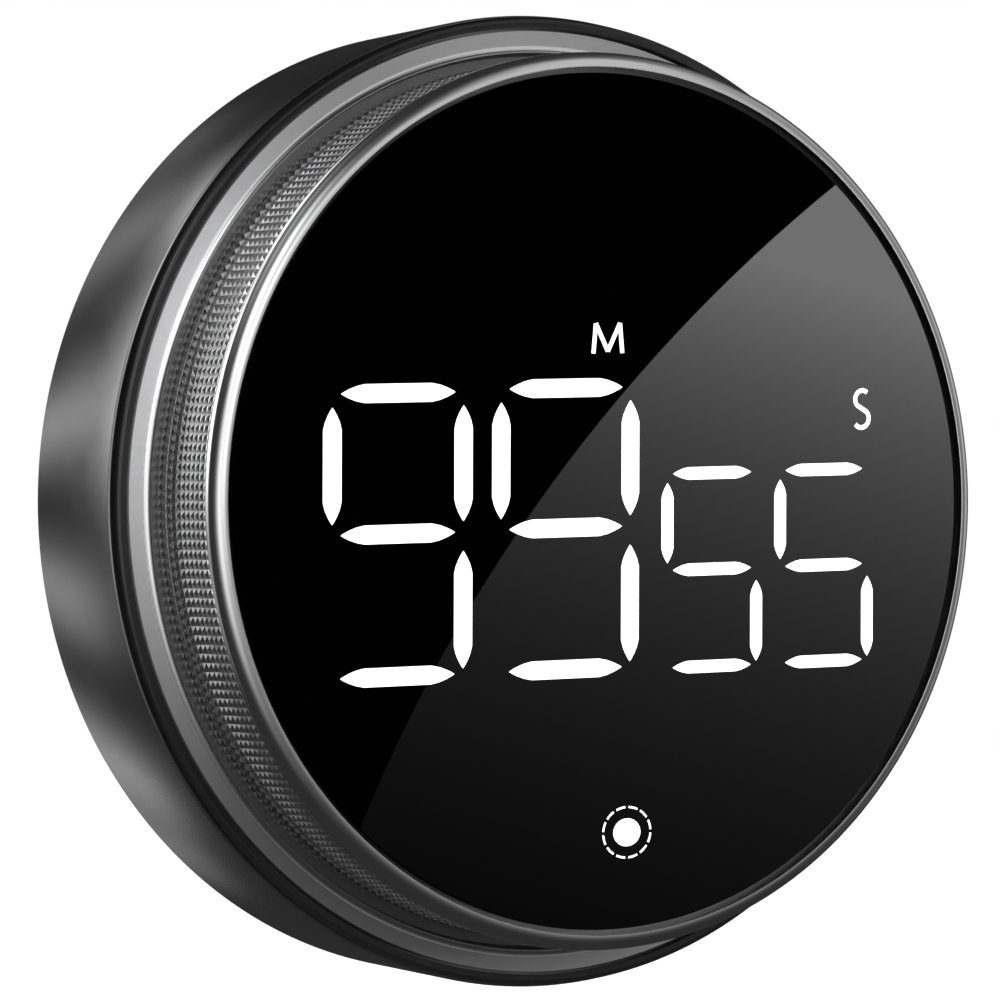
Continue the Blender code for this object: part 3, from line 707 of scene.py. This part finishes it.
def studio_world():
    """Surroundings seen in reflections and lighting the object: strips behind it, soft boxes in front."""
    world = bpy.data.worlds.new("studio")
    bpy.context.scene.world = world
    world.use_nodes = True
    tree = world.node_tree
    direction = node(tree, "ShaderNodeTexCoord").outputs["Generated"]
    split = node(tree, "ShaderNodeSeparateXYZ", {0: direction})
    level = node(tree, "ShaderNodeCombineXYZ", {"X": split.outputs["X"], "Z": split.outputs["Z"]})
    round_axis = node(tree, "ShaderNodeVectorMath", {0: level.outputs[0]}, operation="NORMALIZE").outputs[0]

    def step(start, end):
        """0 to 1 as the direction turns from start to end, its share along +Y."""
        return node(tree, "ShaderNodeMapRange", {
            "Value": split.outputs["Y"], "From Min": start, "From Max": end},
            interpolation_type="SMOOTHSTEP").outputs[0]

    def times(a, b):
        return node(tree, "ShaderNodeMath", {0: a, 1: b}, operation="MULTIPLY").outputs[0]

    def lobe(where, towards, half_width, brightness):
        """Brightness falling to half at half_width degrees from a direction."""
        sharpness = 0.693 / (1 - cos(radians(half_width)))
        near = node(tree, "ShaderNodeVectorMath", {0: where, 1: Vector(towards).normalized()}, operation="DOT_PRODUCT")
        fall = node(tree, "ShaderNodeMath", {0: near.outputs["Value"], 1: sharpness, 2: -sharpness},
                    operation="MULTIPLY_ADD")
        glow = node(tree, "ShaderNodeMath", {0: fall.outputs[0]}, operation="EXPONENT")
        return times(glow.outputs[0], brightness)

    def total(values, start):
        for value in values:
            start = node(tree, "ShaderNodeMath", {0: start, 1: value}, operation="ADD").outputs[0]
        return start

    def round_lights(lights):
        return total([lobe(round_axis, (cos(radians(a)), 0, sin(radians(a))), w, b) for a, w, b in lights], 0.0)

    strips = times(round_lights(STRIPS), step(*STRIPS_RISE))
    wings = times(times(round_lights(WINGS), step(*WINGS_RISE)), step(*WINGS_FALL))
    light = total([lobe(direction, *box) for box in SOFT_BOXES] + [strips, wings], AMBIENT)
    tree.links.new(light, tree.nodes["Background"].inputs["Strength"])
    tree.nodes["Background"].inputs["Color"].default_value = (1, 1, 1, 1)


def only_seen_by(obj, camera=False, glossy=False, diffuse=False, shadow=False):
    obj.visible_camera = camera
    obj.visible_glossy = glossy
    obj.visible_diffuse = diffuse
    obj.visible_shadow = shadow
    obj.visible_transmission = False
    obj.visible_volume_scatter = False


def stage_object(name, bm, mat):
    mesh = bpy.data.meshes.new(name)
    bm.to_mesh(mesh)
    bm.free()
    mesh.shade_smooth()
    mesh.materials.append(mat)
    obj = bpy.data.objects.new(name, mesh)
    bpy.context.scene.collection.objects.link(obj)
    return obj


def backdrop():
    """A white surround that only the camera sees, and a pale floor well below the object."""
    bm = bmesh.new()
    bmesh.ops.create_icosphere(bm, subdivisions=4, radius=3.0)
    only_seen_by(stage_object("surround", bm, surface("surround_white", (0, 0, 0), 1.0, Emission_Color=(1, 1, 1, 1),
                                                      Emission_Strength=1.0)), camera=True)
    bm = bmesh.new()
    bmesh.ops.create_circle(bm, cap_ends=True, segments=96, radius=2.9)
    floor = stage_object("floor", bm, surface("floor_pale", (0.85, 0.85, 0.85), 0.9, Emission_Color=(1, 1, 1, 1),
                                              Emission_Strength=0.97))
    floor.location.z = -0.14
    only_seen_by(floor, camera=True, diffuse=True)


def lens_reflector():
    """A reflector to the front right, mirrored in the lens; its round edge crosses the lens and its glow fades down."""
    inner = [(0.377 * cos(radians(a)), 0.377 * sin(radians(a))) for a in range(162, 123, -1)]
    outer = [(-0.302 + 0.125 * cos(radians(a)), 0.226 + 0.125 * sin(radians(a))) for a in range(36, -117, -8)]
    bm = bmesh.new()
    bm.faces.new([bm.verts.new((u, v, 0)) for u, v in inner + outer])
    mat = bpy.data.materials.new("reflector_glow")
    mat.use_nodes = True
    tree = mat.node_tree
    tree.nodes.clear()
    slope = node(tree, "ShaderNodeVectorMath", {0: node(tree, "ShaderNodeTexCoord").outputs["Object"],
                                                1: (7.0, 24.0, 0.0)}, operation="DOT_PRODUCT")
    level = node(tree, "ShaderNodeMath", {0: slope.outputs["Value"], 1: -3.5}, operation="ADD")
    glow = node(tree, "ShaderNodeMath", {0: level.outputs[0]}, operation="EXPONENT")
    capped = node(tree, "ShaderNodeMath", {0: glow.outputs[0], 1: 3.7}, operation="MINIMUM")
    emission = node(tree, "ShaderNodeEmission", {"Strength": capped.outputs[0]})
    node(tree, "ShaderNodeOutputMaterial", {"Surface": emission.outputs[0]})
    card = stage_object("lens_reflector", bm, mat)
    card.matrix_world = Matrix.Translation((0.783, -0.7124, -0.2185)) @ FACING_LENS
    only_seen_by(card, glossy=True)


def lens_flag():
    """A black card behind the reflector, so the rest of the lens mirrors nothing but dark."""
    bm = bmesh.new()
    bmesh.ops.create_circle(bm, cap_ends=True, segments=64, radius=0.13)
    card = stage_object("lens_flag", bm, surface("flag_black", (0, 0, 0), 1.0, Specular_IOR_Level=0.0))
    card.matrix_world = Matrix.Translation((0.6300, -1.0030, 0.0)) @ FACING_LENS
    only_seen_by(card, glossy=True)


def camera():
    data = bpy.data.cameras.new("camera")
    data.lens = CAMERA_LENS
    data.sensor_width = SENSOR_WIDTH
    data.clip_start, data.clip_end = 0.05, 20.0
    obj = bpy.data.objects.new("camera", data)
    bpy.context.scene.collection.objects.link(obj)
    obj.location = CAMERA_AT
    obj.rotation_euler = (pi / 2, 0.0, CAMERA_YAW)
    bpy.context.scene.camera = obj


# ---------------------------------------------------------------- build

for obj in list(bpy.data.objects):
    bpy.data.objects.remove(obj, do_unlink=True)
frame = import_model()
bpy.context.scene.view_settings.view_transform = "Standard"

PAINT = painted_metal()
BRUSHED, POLISHED, KNURLED = brushed_aluminium(), polished_aluminium(), cut_aluminium()
# Painted shade for the dial's groove.
RECESS_PAINTED_SHADE = painted_shade_recess()
BLACK_GLOSS = gloss_black()
GLASS = smoked_glass()
PLASTIC = moulded("plastic_black", (0.022, 0.022, 0.023), 0.42, 0.55)
WHITE = moulded("plastic_white", (0.78, 0.78, 0.76), 0.35, 0.45, 0.4, 0.004)
GEARS = moulded("gear_plastic", (0.72, 0.70, 0.62), 0.35, 0.5, 0.4, 0.004)
RUBBER = moulded("rubber_black", (0.018, 0.018, 0.018), 0.7, 0.85, 0.15, 0.012)
NICKEL = plated("nickel", (0.72, 0.70, 0.66), 0.20, 0.32)
STEEL = plated("steel", (0.56, 0.56, 0.57), 0.26, 0.40)
SPRING = plated("spring_steel", (0.62, 0.61, 0.59), 0.22, 0.34)
BOARD = circuit_board()
WRAP = moulded("cell_wrap", (0.03, 0.04, 0.07), 0.25, 0.35, 0.8, 0.002)
BAND = moulded("cell_band", (0.42, 0.24, 0.08), 0.22, 0.32, 0.8, 0.002)
FILM = glowing("film_lit", 0.4)
LIT = glowing("display_lit", 1.3)

by_slot = {
    "housing_paint": PAINT, "trim_black": BLACK_GLOSS, "dial_aluminium": BRUSHED, "lens_smoked": GLASS,
    "plastic_black": PLASTIC, "plastic_white": WHITE, "gear_plastic": GEARS, "film_lit": FILM,
    "rubber_black": RUBBER, "nickel": NICKEL, "steel": STEEL, "spring_steel": SPRING, "board": BOARD,
    "cell_wrap": WRAP,
}
for part in frame["nodes"].values():
    part.material_slots[0].material = by_slot[part.material_slots[0].material.name]

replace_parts(housing([PAINT]), "housing_shell")
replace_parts(trim([BLACK_GLOSS]), "trim_ring")
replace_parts(dial([BRUSHED, POLISHED, KNURLED, RECESS_PAINTED_SHADE]), "dial_ring")
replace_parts(lens([GLASS]), "lens")
for piece in display([LIT]):
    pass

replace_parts(cover([PLASTIC]), "back_cover")
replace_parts(foot([RUBBER]), "foot_ring")
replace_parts(door([PLASTIC]), "battery_door")
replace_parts(knob([WHITE]), "volume_knob")
volume_marks([PLASTIC])
for i in range(1, 5):
    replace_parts(magnet(f"magnet_{i}", [NICKEL]), f"magnet_{i}")
    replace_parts(cover_screw(f"cover_screw_{i}", [STEEL]), f"cover_screw_{i}")
for i, way in enumerate((-1, 1, -1), 1):
    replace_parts(cell(i, way, [NICKEL, WRAP, BAND]), f"cell_{i}")
    for piece in contacts(i, way, [NICKEL]):
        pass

studio_world()
backdrop()
lens_reflector()
lens_flag()
camera()
